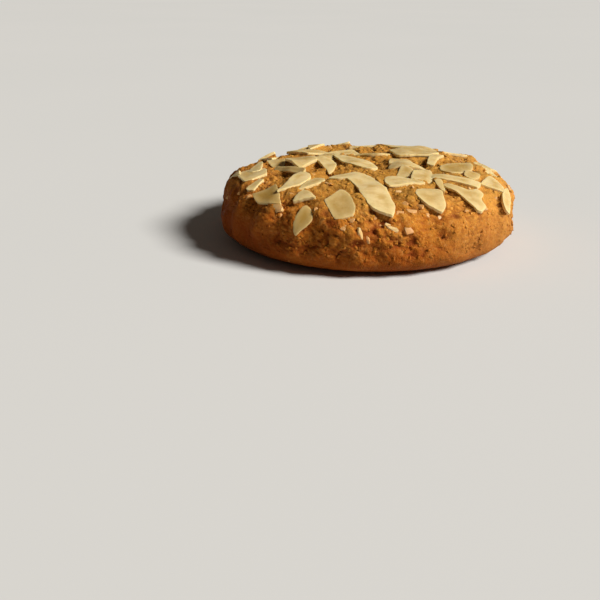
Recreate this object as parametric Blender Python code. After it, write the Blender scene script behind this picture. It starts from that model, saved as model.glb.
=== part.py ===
"""Almond cookie: one thick round cookie with broken almond slices and nibs on its crumbly domed crust.

Metres, +Z up. The origin is the middle of the flat foot that the cookie rests on, and its best side faces -Y.
The dough and every piece of almond on it are fused into one solid.
"""

import math
import random
from bisect import bisect
from collections import namedtuple
from itertools import combinations

import bmesh
import bpy
from mathutils import Matrix, Vector, noise
from mathutils.bvhtree import BVHTree

MM = 0.001

# The dough's driving sizes. A fullness of 2 is an ellipse, and more is a flatter top with a rounder shoulder.
DOUGH_RADIUS = 32.0 * MM
CROWN_HEIGHT = 16.1 * MM
BELLY_HEIGHT = 5.2 * MM
FOOT_RADIUS = 21.6 * MM
CROWN_FULLNESS = 3.4
BELLY_FULLNESS = 2.6

# The foot: a low cone under the dough, so that the cookie stands on a clear and even edge.
FOOT_SIDES = 48
FOOT_HEIGHT = 1.0 * MM
FOOT_OVERLAP = 0.05 * MM
FOOT_TOP_RADIUS = 29.0 * MM

# The crust's relief: slow swells from uneven rising, and crags where it crumbled, fading towards the foot.
# Each has its own draw, the place in the noise that it is read from.
SWELL_SIZE = 17 * MM
SWELL_HEIGHT = 0.8 * MM
SWELL_DRAW = Vector((0.2, 1.3, 1.6))
CRAG_SIZE = 4.8 * MM
CRAG_HEIGHT = 1.3 * MM
CRAG_DRAW = Vector((5.3, 0.4, 2.6))
CRAG_SINK = 0.2
FOOT_FADE = 3 * MM

# The dough's mesh: a ball, pressed flat on the foot beyond FOOT_TILT from its top.
PROFILE_STEPS = 240
DOUGH_SUBDIVISIONS = 5
FOOT_TILT = math.radians(122)
FLAT = 1e-7

# The almond: slices that broke as they were mixed in, and chopped nibs.
SLICE_THICKNESS = 1.1 * MM
SLICE_SINK = 0.45 * MM
SLICE_POINTS = 12
SLICE_TAPER = 0.6
BREAK_PLAY = 7
SHORTEST_EDGE = 0.05 * MM
DROP_HEIGHT = 9 * MM
STEEPEST_TILT = math.radians(20)
LEANING_RISE = 0.35

# How a slice broke. Each break keeps one side of a straight line: the direction that the line faces, in
# degrees from the slice's point, and its distance from the slice's middle, where the half length is 1.
BREAKS = {
    "whole": (),
    "tip": ((186, 0.05),),
    "butt": ((8, 0.25),),
    "half": ((272, 0.05),),
    "middle": ((14, 0.42), (176, 0.5)),
    "corner": ((187, 0.1), (82, 0.2)),
    "shard": ((24, 0.3), (142, 0.3), (265, 0.5)),
    "sliver": ((94, 0.25), (268, 0.2)),
}

# The outlines in millimetres of the slices that show best.
OUTLINES = {
    "blade": (
        (-7.6, -3.3), (-5.9, -2.0), (-5.2, -0.3), (-0.6, -0.8), (3.7, -2.2), (6.3, -2.8), (8.5, -2.4),
        (11.3, -0.1), (8.6, 2.0), (2.3, 3.8), (-4.9, 4.4), (-8.4, 3.3), (-8.8, -1.2),
    ),
    "pentagon": (
        (-4.6, 0.8), (-4.2, 0.0), (-2.3, -2.6), (0.7, -2.1), (3.0, -1.7), (3.4, -0.2), (3.3, 1.9),
        (1.1, 2.5), (-2.2, 2.2), (-4.0, 1.5),
    ),
    "shield": (
        (-3.6, -1.0), (-2.4, -2.0), (0.7, -3.0), (3.1, -3.6), (4.0, -3.2), (4.5, -1.7), (4.9, 0.3),
        (4.2, 1.4), (3.0, 2.2), (0.8, 2.2), (-1.3, 1.5),
    ),
    "wing": (
        (-5.9, 0.2), (-4.9, -0.5), (-2.6, -0.4), (0.5, -0.9), (3.7, -1.5), (4.6, -0.7), (4.3, 1.2),
        (2.2, 1.8), (1.3, 3.7), (-0.4, 3.7), (-1.0, 2.1), (-3.2, 1.5), (-5.6, 1.1),
    ),
    "block": ((-4.5, -1.6), (-0.8, -2.5), (2.6, -1.0), (4.2, 0.1), (1.1, 1.7), (-2.2, 2.9), (-3.3, 0.3)),
    "leaf": (
        (-3.2, -1.1), (-2.4, -1.5), (-0.3, -1.6), (1.1, -1.4), (2.4, -0.8), (3.0, 0.0), (0.3, 1.3),
        (-1.2, 1.7), (-2.9, 0.4),
    ),
}

# A piece of slice: how it broke, its bearing round the cookie from +X, how far it lies from the crown over
# the crust, the heading of its point from straight down, its size, and how far it leans on its long side.
Slice = namedtuple("Slice", "broke bearing reach heading long wide lean", defaults=(0,))
MAIN_SLICES = (
    # The back rim
    Slice("butt", 136, 17, 70, 10, 6),
    Slice("sliver", 88, 20, 80, 9, 3, 9),
    Slice("whole", 56, 21, 110, 13, 7),
    Slice("middle", 36, 24, 80, 10, 6),
    Slice("tip", 172, 19.5, 100, 9, 5),
    Slice("middle", 184, 14, 100, 10, 6),
    Slice("half", 78, 7.4, 105, 9, 5),
    Slice("butt", 36, 14.3, 155, 11, 8),
    Slice("corner", 5, 7.6, 76, 8, 5),
    # The middle of the crown
    Slice("sliver", 8, 15.2, 62, 10, 2.4),
    Slice("half", 207, 9.5, 76, 11, 3.4),
    Slice("whole", 205, 3.3, 274, 16, 5.4),
    Slice("sliver", 200, 17.5, 105, 11, 2.2, 15),
    Slice("half", 330, 9.2, 32, 8, 4.5),
    Slice("corner", 310, 12.2, 124, 6.5, 3.8),
    Slice("middle", 314, 15.2, 125, 10, 4.2),
    Slice("half", 288, 18, 92, 8, 5.2),
    Slice("blade", 263.7, 21.4, 34, 20.1, 7.7),
    # The left shoulder
    Slice("middle", 192, 25.2, 86, 9, 6),
    Slice("sliver", 178, 24, 84, 9, 3),
    Slice("tip", 183, 28.4, 112, 5, 2.6),
    Slice("sliver", 205.7, 26.6, 27, 4.4, 2),
    Slice("half", 226, 22.1, 15, 11.2, 4),
    Slice("half", 235.7, 20.9, 4, 7.5, 3.2),
    Slice("block", 224, 28.7, 76, 8.7, 5.4),
    Slice("shard", 239.8, 26.1, 7, 5.2, 4.3),
    # The front shoulder and side
    Slice("pentagon", 255.9, 28.4, 20, 7.7, 5.2),
    Slice("leaf", 243, 32.5, 345, 6.2, 3.3),
    Slice("shield", 292.5, 27.2, 173, 8.5, 5.8),
    Slice("sliver", 305, 21.8, 152, 4.8, 1.6),
    # The right shoulder
    Slice("whole", 350, 19.7, 67, 12, 6),
    Slice("butt", 336, 23, 95, 6, 3.2),
    Slice("sliver", 322, 21.3, 196, 10.5, 3.4),
    Slice("wing", 311.3, 27.6, 4, 10.5, 5.2),
    Slice("sliver", 3, 27.4, 98, 10, 2.6),
    Slice("corner", 337, 28.1, 92, 7.2, 5),
    Slice("half", 330, 31.6, 124, 8, 2.4),
)

# The other slices are strewn over the back half of the crown, with a few short ones down its side.
STREWN_SLICES = 20
STREWN_BEARINGS = (0, 180)
STREWN_SEED = 11
STREWN_TRIES = 6000
STREWN_GAP = 3.4 * MM
STREWN_CROWDING = 0.3
STREWN_LENGTHS = (4 * MM, 10 * MM)
STREWN_WIDTHS = (0.45, 0.75)
CROWN_REACH = 31 * MM
SIDE_REACH = 37 * MM
SIDE_LENGTH = 4.5 * MM
SIDE_SHARE = 0.12

# The nibs: uneven lumps whose width and height are shares of their length.
NIBS = 40
NIB_SEED = 12
NIB_REACH = 40 * MM
NIB_SIZES = (0.9 * MM, 1.6 * MM)
NIB_WIDTHS = (0.55, 0.8)
NIB_HEIGHTS = (0.5, 0.7)
NIB_UNEVENNESS = (0.75, 1.15)

CRUST_COLOUR = (0.36, 0.13, 0.035, 1.0)
ALMOND_COLOUR = (0.72, 0.55, 0.27, 1.0)


def profile_of_the_dough():
    """(way over the crust, distance from the axis, height) of the evenly risen dough, from crown to foot."""
    rise, side = CROWN_HEIGHT - BELLY_HEIGHT, DOUGH_RADIUS - FOOT_RADIUS
    line = []
    for step in range(2 * PROFILE_STEPS + 1):
        turn = math.pi / 2 * (step / PROFILE_STEPS)
        level, drop = abs(math.sin(turn)), abs(math.cos(turn))
        if step <= PROFILE_STEPS:
            out = DOUGH_RADIUS * level ** (2 / CROWN_FULLNESS)
            up = BELLY_HEIGHT + rise * drop ** (2 / CROWN_FULLNESS)
        else:
            out = FOOT_RADIUS + side * level ** (2 / BELLY_FULLNESS)
            up = BELLY_HEIGHT - BELLY_HEIGHT * drop ** (2 / BELLY_FULLNESS)
        way = line[-1][0] + math.dist(line[-1][1:], (out, up)) if line else 0.0
        line.append((way, out, up))
    return line


PROFILE = profile_of_the_dough()
WAYS = [way for way, _, _ in PROFILE]
FOOT_REACH = WAYS[-1]


def on_profile(reach):
    """(distance from the axis, height, angle of the slope) of the dough, this far over the crust."""
    index = min(max(bisect(WAYS, reach), 1), len(PROFILE) - 1)
    (start, out0, up0), (end, out1, up1) = PROFILE[index - 1 : index + 1]
    share = (reach - start) / (end - start)
    slope = math.atan2(up0 - up1, out1 - out0)
    return out0 + share * (out1 - out0), up0 + share * (up1 - up0), slope


def on_the_crust(bearing, reach, heading=0.0):
    """The frame of a piece on the crust: X is its heading, and Z points straight out of the dough."""
    out, up, slope = on_profile(reach)
    place = Matrix.Translation((out * math.cos(bearing), out * math.sin(bearing), up))
    slant = Matrix.Rotation(bearing, 4, "Z") @ Matrix.Rotation(slope, 4, "Y")
    return place @ slant @ Matrix.Rotation(heading, 4, "Z")


def relief(point):
    """How far the crust stands out of the evenly risen dough at this point."""
    swell = noise.noise(point / SWELL_SIZE + SWELL_DRAW)
    crag = noise.noise(point / CRAG_SIZE + CRAG_DRAW)
    fade = min(1.0, max(0.0, (point.z - FOOT_HEIGHT) / FOOT_FADE))
    return fade * (SWELL_HEIGHT * swell + CRAG_HEIGHT * (crag - CRAG_SINK))


def dough_mesh():
    """The dough: a ball whose points are led over the profile and roughened, with one flat face below."""
    bm = bmesh.new()
    bmesh.ops.create_icosphere(bm, subdivisions=DOUGH_SUBDIVISIONS, radius=1.0)
    for vert in bm.verts:
        tilt = math.acos(max(-1.0, min(1.0, vert.co.z)))
        bearing = math.atan2(vert.co.y, vert.co.x)
        if tilt < FOOT_TILT:
            out, up, _ = on_profile(FOOT_REACH * tilt / FOOT_TILT)
        else:
            out, up = FOOT_RADIUS * (math.pi - tilt) / (math.pi - FOOT_TILT), 0.0
        vert.co = (out * math.cos(bearing), out * math.sin(bearing), max(up, FOOT_HEIGHT))
    bm.normal_update()
    moves = [(vert, vert.normal * relief(vert.co)) for vert in bm.verts]
    for vert, move in moves:
        vert.co += move
    below = [face for face in bm.faces if all(vert.co.z < FOOT_HEIGHT + FLAT for vert in face.verts)]
    bmesh.ops.dissolve_faces(bm, faces=below, use_verts=True)
    return bm


def foot_mesh():
    """The low cone that the cookie stands on, which reaches a little into the dough."""
    bm = bmesh.new()
    tall = FOOT_HEIGHT + FOOT_OVERLAP
    bmesh.ops.create_cone(
        bm, cap_ends=True, segments=FOOT_SIDES, radius1=FOOT_RADIUS, radius2=FOOT_TOP_RADIUS, depth=tall,
        matrix=Matrix.Translation((0.0, 0.0, tall / 2)),
    )
    return bm


def broken_slice(broke, long, wide, dice):
    """A flat piece of slice on XY: its own outline, or a pointed oval that broke, scaled to its size."""
    bm = bmesh.new()
    if broke in OUTLINES:
        bm.faces.new([bm.verts.new((x, y, 0.0)) for x, y in OUTLINES[broke]])
    else:
        bmesh.ops.create_circle(bm, cap_ends=True, radius=1.0, segments=SLICE_POINTS)
        for vert in bm.verts:
            turn = math.atan2(vert.co.y, vert.co.x)
            vert.co.y *= abs(math.sin(turn / 2)) ** SLICE_TAPER
        for facing, distance in BREAKS[broke]:
            angle = math.radians(facing + dice.uniform(-BREAK_PLAY, BREAK_PLAY))
            across = Vector((math.cos(angle), math.sin(angle), 0.0))
            line = across * distance
            whole = bm.verts[:] + bm.edges[:] + bm.faces[:]
            bmesh.ops.bisect_plane(bm, geom=whole, plane_co=line, plane_no=across, clear_outer=True)
    lowest = Vector([min(vert.co[axis] for vert in bm.verts) for axis in range(3)])
    highest = Vector([max(vert.co[axis] for vert in bm.verts) for axis in range(3)])
    if broke in BREAKS:
        bmesh.ops.translate(bm, vec=-(lowest + highest) / 2, verts=bm.verts)
    size = highest - lowest
    bmesh.ops.scale(bm, vec=(long / size.x, wide / size.y, 1.0), verts=bm.verts)
    bmesh.ops.remove_doubles(bm, verts=bm.verts, dist=SHORTEST_EDGE)
    return bm


def heights_below(probes, frame, pile):
    """How high the pile reaches under each probe, from the frame's XY plane."""
    down = -frame.col[2].to_3d()
    falls = [pile.ray_cast(frame @ (probe + Vector((0.0, 0.0, DROP_HEIGHT))), down)[3] for probe in probes]
    return [-DROP_HEIGHT if fall is None else DROP_HEIGHT - fall for fall in falls]


def resting_plane(outline, frame, pile):
    """The level at which a flat piece rests on the pile, and the way it faces, held by three points."""
    probes = [Vector((spot.x * share, spot.y * share, 0.0)) for spot in outline for share in (1.0, 0.5)]
    held_at = [Vector((p.x, p.y, height)) for p, height in zip(probes, heights_below(probes, frame, pile))]
    best = (max(spot.z for spot in held_at), Vector((0.0, 0.0, 1.0)))
    found = False
    for one, two, three in combinations(held_at, 3):
        facing = (two - one).cross(three - one)
        if facing.z < 0:
            facing.negate()
        if facing.z <= facing.length * math.cos(STEEPEST_TILT):
            continue
        facing.normalize()
        level = facing.dot(one) / facing.z
        clear = all(facing.dot(spot) / facing.z < level + FLAT for spot in held_at)
        if clear and (not found or level < best[0]):
            best, found = (level, facing), True
    return best


def seat_slice(piece, pile, dice):
    """One piece of slice at rest on the pile, sunk a little into what it touches."""
    bm = broken_slice(piece.broke, piece.long * MM, piece.wide * MM, dice)
    frame = on_the_crust(math.radians(piece.bearing), piece.reach * MM, math.radians(piece.heading))
    level, facing = resting_plane([vert.co.copy() for vert in bm.verts], frame, pile)
    thick = bmesh.ops.extrude_face_region(bm, geom=bm.faces[:])
    raised = [item for item in thick["geom"] if isinstance(item, bmesh.types.BMVert)]
    bmesh.ops.translate(bm, vec=(0.0, 0.0, SLICE_THICKNESS), verts=raised)
    bmesh.ops.recalc_face_normals(bm, faces=bm.faces)
    tilt = Vector((0.0, 0.0, 1.0)).rotation_difference(facing).to_matrix().to_4x4()
    lean = math.radians(piece.lean)
    rise = level - SLICE_SINK + LEANING_RISE * piece.wide * MM * math.sin(lean)
    rest = Matrix.Translation((0.0, 0.0, rise)) @ tilt @ Matrix.Rotation(lean, 4, "X")
    bmesh.ops.transform(bm, matrix=frame @ rest, verts=bm.verts)
    return bm


def strewn_slices():
    """The slices that were not placed one by one: over the back of the crown, and a few on its side."""
    dice = random.Random(STREWN_SEED)
    taken = []
    for piece in MAIN_SLICES:
        place = on_the_crust(math.radians(piece.bearing), piece.reach * MM).translation
        taken.append((place, piece.long * MM))
    strewn = []
    for _ in range(STREWN_TRIES):
        bearing, spread, length = dice.uniform(*STREWN_BEARINGS), dice.random(), dice.uniform(*STREWN_LENGTHS)
        broke, heading = dice.choice(sorted(BREAKS)), dice.uniform(0, 360)
        narrow = dice.uniform(*STREWN_WIDTHS)
        reach = CROWN_REACH * math.sqrt(spread / (1 - SIDE_SHARE))
        if spread > 1 - SIDE_SHARE:
            reach, length = dice.uniform(CROWN_REACH, SIDE_REACH), SIDE_LENGTH
        place = on_the_crust(math.radians(bearing), reach).translation
        if any((place - other).length < STREWN_GAP + STREWN_CROWDING * size for other, size in taken):
            continue
        taken.append((place, length))
        strewn.append(Slice(broke, bearing, reach / MM, heading, length / MM, length / MM * narrow))
        if len(strewn) == STREWN_SLICES:
            break
    return strewn


def almond_nib(pile, dice):
    """One chopped nib: an uneven lump of almond, half sunk in the crust."""
    bearing, reach = dice.uniform(0, 2 * math.pi), NIB_REACH * math.sqrt(dice.random())
    frame = on_the_crust(bearing, reach, dice.uniform(0, 2 * math.pi))
    height = heights_below([Vector()], frame, pile)[0]
    bm = bmesh.new()
    bmesh.ops.create_icosphere(bm, subdivisions=1, radius=1.0)
    size, wide, high = dice.uniform(*NIB_SIZES), dice.uniform(*NIB_WIDTHS), dice.uniform(*NIB_HEIGHTS)
    for vert in bm.verts:
        vert.co *= dice.uniform(*NIB_UNEVENNESS)
    bmesh.ops.scale(bm, vec=(size, size * wide, size * high), verts=bm.verts)
    bmesh.ops.transform(bm, matrix=frame @ Matrix.Translation((0.0, 0.0, height)), verts=bm.verts)
    return bm


def finish(name, colour, roughness):
    """A material of one colour."""
    material = bpy.data.materials.new(name)
    material.use_nodes = True
    shader = material.node_tree.nodes["Principled BSDF"]
    shader.inputs["Base Color"].default_value = colour
    shader.inputs["Roughness"].default_value = roughness
    return material


def mesh_object(name, bm, material, collection):
    """An object of this bmesh, which is used up."""
    mesh = bpy.data.meshes.new(name)
    bm.to_mesh(mesh)
    bm.free()
    mesh.materials.append(material)
    made = bpy.data.objects.new(name, mesh)
    collection.objects.link(made)
    return made


def strew_almond(dough, almond, toppings):
    """Drops every slice and then every nib on the dough, each slice on what lay there before it."""
    dice = random.Random(NIB_SEED)
    lying = bmesh.new()
    lying.from_mesh(dough.data)
    for number, piece in enumerate(strewn_slices() + list(MAIN_SLICES)):
        bm = seat_slice(piece, BVHTree.FromBMesh(lying), dice)
        lying.from_mesh(mesh_object(f"slice_{number}", bm, almond, toppings).data)
    pile = BVHTree.FromBMesh(lying)
    lying.free()
    for number in range(NIBS):
        mesh_object(f"nib_{number}", almond_nib(pile, dice), almond, toppings)


def fuse(dough, toppings):
    """One Boolean union of the dough with its foot and all the almond on it."""
    union = dough.modifiers.new("almond", "BOOLEAN")
    union.operation = "UNION"
    union.operand_type = "COLLECTION"
    union.collection = toppings
    union.solver = "EXACT"
    union.material_mode = "TRANSFER"
    depsgraph = bpy.context.evaluated_depsgraph_get()
    fused = bpy.data.meshes.new_from_object(dough.evaluated_get(depsgraph))
    dough.modifiers.clear()
    dough.data = fused
    for topping in list(toppings.objects):
        bpy.data.objects.remove(topping)
    bpy.data.collections.remove(toppings)


def keep_the_outer_skin(cookie):
    """Fills the hollows that fusing sealed and drops loose scraps: only the largest closed skin is kept."""
    bm = bmesh.new()
    bm.from_mesh(cookie.data)
    unseen = set(bm.verts)
    skins = []
    while unseen:
        skin, rim = set(), [unseen.pop()]
        while rim:
            vert = rim.pop()
            skin.add(vert)
            near = {edge.other_vert(vert) for edge in vert.link_edges} & unseen
            unseen -= near
            rim.extend(near)
        skins.append(skin)
    largest = max(skins, key=len)
    bmesh.ops.delete(bm, geom=[vert for vert in bm.verts if vert not in largest], context="VERTS")
    bm.to_mesh(cookie.data)
    bm.free()


def main():
    for old in list(bpy.data.objects):
        bpy.data.objects.remove(old)
    crust = finish("crust", CRUST_COLOUR, 0.75)
    almond = finish("almond", ALMOND_COLOUR, 0.5)
    cookie = mesh_object("cookie", dough_mesh(), crust, bpy.context.scene.collection)
    toppings = bpy.data.collections.new("toppings")
    bpy.context.scene.collection.children.link(toppings)
    strew_almond(cookie, almond, toppings)
    mesh_object("foot", foot_mesh(), crust, toppings)
    fuse(cookie, toppings)
    keep_the_outer_skin(cookie)


main()
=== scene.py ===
"""The looks of one almond cookie: a crumbly golden crust with broken almond slices and nibs in it."""

import math
import random
from bisect import bisect
from collections import namedtuple
from itertools import combinations

import bmesh
import bpy
from mathutils import Matrix, Vector, noise
from mathutils.bvhtree import BVHTree


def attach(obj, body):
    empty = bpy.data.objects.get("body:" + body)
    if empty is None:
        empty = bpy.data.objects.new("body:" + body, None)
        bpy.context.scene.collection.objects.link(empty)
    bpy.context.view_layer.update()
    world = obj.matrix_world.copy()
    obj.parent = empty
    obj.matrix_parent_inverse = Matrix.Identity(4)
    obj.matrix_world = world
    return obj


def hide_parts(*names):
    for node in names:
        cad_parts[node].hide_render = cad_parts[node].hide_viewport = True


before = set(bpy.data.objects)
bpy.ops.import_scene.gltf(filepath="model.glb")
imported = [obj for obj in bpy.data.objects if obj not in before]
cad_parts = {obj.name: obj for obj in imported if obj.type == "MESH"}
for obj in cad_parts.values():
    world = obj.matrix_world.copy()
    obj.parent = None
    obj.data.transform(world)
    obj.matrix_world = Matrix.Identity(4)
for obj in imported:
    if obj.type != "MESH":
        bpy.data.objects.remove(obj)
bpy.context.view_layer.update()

# Noise vectors start from the clock unless they are given a seed.
NOISE_SEED = 3
noise.seed_set(NOISE_SEED)

MM = 0.001

# The camera, where the photograph was taken from, looking down.
CAMERA_PLACE = (-14.5 * MM, -178.5 * MM, 54.2 * MM)
CAMERA_PITCH = math.radians(21.55)
CAMERA_LENS = 49.8
CAMERA_SENSOR = 36.0
CAMERA_CLIP = 10 * MM

# The dough's driving sizes, as in the solid. A fullness of 2 is an ellipse, and more is a rounder shoulder.
DOUGH_RADIUS = 32.0 * MM
CROWN_HEIGHT = 16.1 * MM
BELLY_HEIGHT = 5.2 * MM
FOOT_RADIUS = 21.6 * MM
FOOT_HEIGHT = 1.0 * MM
CROWN_FULLNESS = 3.4
BELLY_FULLNESS = 2.6
PROFILE_STEPS = 240

# The relief that the solid has too. Each has its own draw, the place in the noise that it is read from.
SWELL_SIZE = 17 * MM
SWELL_HEIGHT = 0.8 * MM
SWELL_DRAW = Vector((0.2, 1.3, 1.6))
CRAG_SIZE = 4.8 * MM
CRAG_HEIGHT = 1.3 * MM
CRAG_DRAW = Vector((5.3, 0.4, 2.6))
CRAG_SINK = 0.2
FOOT_FADE = 3 * MM

# The crumb: chunks with creases between them, finer crumb in three sizes, pits where a chunk fell out,
# cracks, and faint wrinkles down the smooth flanks. A level is how much of a bulge lies below the plain
# crust, and a shade is how much painted shade darkens a crease, a gap, a pit or a crack.
DOUGH_CUTS = 124
FOOT_TILT = math.radians(136)
Crumb = namedtuple("Crumb", "size height draw")
CHUNKS = Crumb(2.7 * MM, 0.34 * MM, Vector((1.7, 2.2, 0.6)))
CHUNK_LEVEL = 0.8
CREASE_SHARPNESS = 1.6
CREASE_SHADE = 0.35
CRUMB = (
    Crumb(1.9 * MM, 0.3 * MM, Vector((4.1, 0.3, 3.3))),
    Crumb(1.0 * MM, 0.2 * MM, Vector((2.4, 5.2, 1.1))),
    Crumb(0.55 * MM, 0.14 * MM, Vector((0.9, 3.2, 7.1))),
)
BULGE_FULLNESS = 2.6
BULGE_LEVEL = 0.45
GAP_SHARPNESS = 3
GAP_SHADE = 0.3
CRUMB_FADE = 1 * MM
RAISED_RANGE = 1.2 * MM
WARP_SIZE = 2.2 * MM
WARP = 0.7 * MM
PIT_SPACING = 3.1 * MM
PIT_SHARE = 0.25
PIT_DRAW = 7.3
PIT_RADIUS = 1.0 * MM
PIT_DEPTH = 0.6 * MM
PIT_STEEPNESS = 1.3
MAIN_PIT_STEEPNESS = 1.4
PIT_SHADE = 0.9
Pit = namedtuple("Pit", "bearing reach radius")
MAIN_PITS = (
    Pit(272, 31.9, 1.2),
    Pit(268, 33.5, 1.1),
    Pit(262.5, 35.8, 1.3),
    Pit(282, 36.0, 1.1),
    Pit(277, 36.2, 1.0),
    Pit(294, 34.9, 1.2),
    Pit(300, 31.6, 0.9),
    Pit(310, 37.2, 0.8),
    Pit(248.5, 28.8, 1.0),
    Pit(251, 30.6, 1.2),
    Pit(254, 32.6, 1.2),
    Pit(243, 34.2, 0.8),
)
CRACK_SIZE = 6 * MM
CRACK_WIDTH = 0.05
CRACK_DEPTH = 0.3 * MM
CRACK_DRAW = Vector((9.0, 3.0, 5.0))
CRACK_SHADE = 0.6
SMOOTH_RIM = (2.0 * MM, 5 * MM)
SMOOTH_FLANK_BEARING = math.radians(203)
SMOOTH_FLANK_SPREAD = math.radians(36)
SMOOTH_FLANK_TOP = 14.3 * MM
SMOOTH_FLANK_FADE = 5.5 * MM
SMOOTH_FLANK_SHARE = 0.9
SANDY_BEARING = math.radians(325)
SANDY_SPREAD = math.radians(30)
SANDY_SHARE = 0.6
SANDY_FINE_SHARE = 0.4
SPREAD_PLATEAU = 1.4
PATCH_SIZE = 9 * MM
PATCH_DRAW = Vector((7.0, 1.0, 4.0))
PATCH_LEVEL = 0.9
PATCH_PLAY = 1.1
WRINKLE_TURNS = 16
WRINKLE_HEIGHT = 9 * MM
WRINKLE_DEPTH = 0.22 * MM
WRINKLE_FADE = 4 * MM
FOOT_GRAIN_SIZE = 1.3 * MM
FOOT_GRAIN_LEVEL = 0.1
FOOT_GRAIN = 0.36 * MM
FOOT_EDGE = 2 * MM

# How brown the crust is, by height: all over the rim, with painted shade further up the left flank.
BROWNED_BELOW = 13.2 * MM
BROWNING_FADE = 12 * MM
FLANK_PAINTED_SHADE_BELOW = 14.4 * MM
FLANK_PAINTED_SHADE_FADE = 6 * MM
FLANK_PAINTED_SHADE = 0.5

# The almond slices, as in the solid.
SLICE_POINTS = 12
SLICE_TAPER = 0.6
BREAK_PLAY = 7
SHORTEST_EDGE = 0.05 * MM
DROP_HEIGHT = 9 * MM
STEEPEST_TILT = math.radians(9)
LEANING_RISE = 0.35
FLAT = 1e-7
BREAKS = {
    "whole": (),
    "tip": ((186, 0.05),),
    "butt": ((8, 0.25),),
    "half": ((272, 0.05),),
    "middle": ((14, 0.42), (176, 0.5)),
    "corner": ((187, 0.1), (82, 0.2)),
    "shard": ((24, 0.3), (142, 0.3), (265, 0.5)),
    "sliver": ((94, 0.25), (268, 0.2)),
}
OUTLINES = {
    "blade": (
        (-7.6, -3.3), (-5.9, -2.0), (-5.2, -0.3), (-0.6, -0.8), (3.7, -2.2), (6.3, -2.8), (8.5, -2.4),
        (11.3, -0.1), (8.6, 2.0), (2.3, 3.8), (-4.9, 4.4), (-8.4, 3.3), (-8.8, -1.2),
    ),
    "pentagon": (
        (-4.6, 0.8), (-4.2, 0.0), (-2.3, -2.6), (0.7, -2.1), (3.0, -1.7), (3.4, -0.2), (3.3, 1.9),
        (1.1, 2.5), (-2.2, 2.2), (-4.0, 1.5),
    ),
    "shield": (
        (-3.6, -1.0), (-2.4, -2.0), (0.7, -3.0), (3.1, -3.6), (4.0, -3.2), (4.5, -1.7), (4.9, 0.3),
        (4.2, 1.4), (3.0, 2.2), (0.8, 2.2), (-1.3, 1.5),
    ),
    "wing": (
        (-5.9, 0.2), (-4.9, -0.5), (-2.6, -0.4), (0.5, -0.9), (3.7, -1.5), (4.6, -0.7), (4.3, 1.2),
        (2.2, 1.8), (1.3, 3.7), (-0.4, 3.7), (-1.0, 2.1), (-3.2, 1.5), (-5.6, 1.1),
    ),
    "block": ((-4.5, -1.6), (-0.8, -2.5), (2.6, -1.0), (4.2, 0.1), (1.1, 1.7), (-2.2, 2.9), (-3.3, 0.3)),
    "leaf": (
        (-3.2, -1.1), (-2.4, -1.5), (-0.3, -1.6), (1.1, -1.4), (2.4, -0.8), (3.0, 0.0), (0.3, 1.3),
        (-1.2, 1.7), (-2.9, 0.4),
    ),
}
# A toasted value is a slice's own tone; for the block, the pentagon and the leaf it is partly painted shade.
Slice = namedtuple("Slice", "broke bearing reach heading long wide lean toasted", defaults=(0, None))
MAIN_SLICES = (
    # The back rim
    Slice("butt", 136, 17, 70, 10, 6),
    Slice("sliver", 88, 20, 80, 9, 3, 9),
    Slice("whole", 56, 21, 110, 13, 7),
    Slice("middle", 36, 24, 80, 10, 6),
    Slice("tip", 172, 19.5, 100, 9, 5),
    Slice("middle", 184, 14, 100, 10, 6),
    Slice("half", 78, 7.4, 105, 9, 5),
    Slice("butt", 36, 14.3, 155, 11, 8),
    Slice("corner", 5, 7.6, 76, 8, 5),
    # The middle of the crown
    Slice("sliver", 8, 15.2, 62, 10, 2.4),
    Slice("half", 207, 9.5, 76, 11, 3.4),
    Slice("whole", 205, 3.3, 274, 16, 5.4, toasted=0.0),
    Slice("sliver", 200, 17.5, 105, 11, 2.2, 15),
    Slice("half", 330, 9.2, 32, 8, 4.5),
    Slice("corner", 310, 12.2, 124, 6.5, 3.8),
    Slice("middle", 314, 15.2, 125, 10, 4.2),
    Slice("half", 288, 18, 92, 8, 5.2, toasted=0.0),
    Slice("blade", 263.7, 21.4, 34, 20.1, 7.7, toasted=0.05),
    # The left shoulder
    Slice("middle", 192, 25.2, 86, 9, 6, toasted=0.0),
    Slice("sliver", 178, 24, 84, 9, 3),
    Slice("tip", 183, 28.4, 112, 5, 2.6),
    Slice("sliver", 205.7, 26.6, 27, 4.4, 2),
    Slice("half", 226, 22.1, 15, 11.2, 4, toasted=0.0),
    Slice("half", 235.7, 20.9, 4, 7.5, 3.2),
    # The block is darkened partly as painted shade, lying away from the lamp.
    Slice("block", 224, 28.7, 76, 8.7, 5.4, toasted=1.2),
    Slice("shard", 239.8, 26.1, 7, 5.2, 4.3),
    # The front shoulder and side
    # The pentagon and the leaf are darkened partly as painted shade, lying away from the lamp.
    Slice("pentagon", 255.9, 28.4, 20, 7.7, 5.2, toasted=0.85),
    Slice("leaf", 243, 32.5, 345, 6.2, 3.3, toasted=1.2),
    Slice("shield", 292.5, 27.2, 173, 8.5, 5.8, toasted=0.5),
    Slice("sliver", 308.5, 21.6, 152, 4.8, 1.6, toasted=0.9),
    # The right shoulder
    Slice("whole", 350, 19.7, 67, 12, 6),
    Slice("butt", 336, 23, 95, 6, 3.2),
    Slice("sliver", 322, 21.3, 196, 10.5, 3.4),
    Slice("wing", 311.3, 27.6, 4, 10.5, 5.2, toasted=0.35),
    Slice("sliver", 3, 27.4, 98, 10, 2.6),
    Slice("corner", 337, 28.1, 92, 7.2, 5),
    Slice("half", 330, 31.6, 124, 8, 2.4),
)
STREWN_SLICES = 20
STREWN_BEARINGS = (0, 180)
STREWN_SEED = 11
STREWN_TRIES = 6000
STREWN_GAP = 3.4 * MM
STREWN_CROWDING = 0.3
STREWN_LENGTHS = (4 * MM, 10 * MM)
STREWN_WIDTHS = (0.45, 0.75)
CROWN_REACH = 31 * MM
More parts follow.
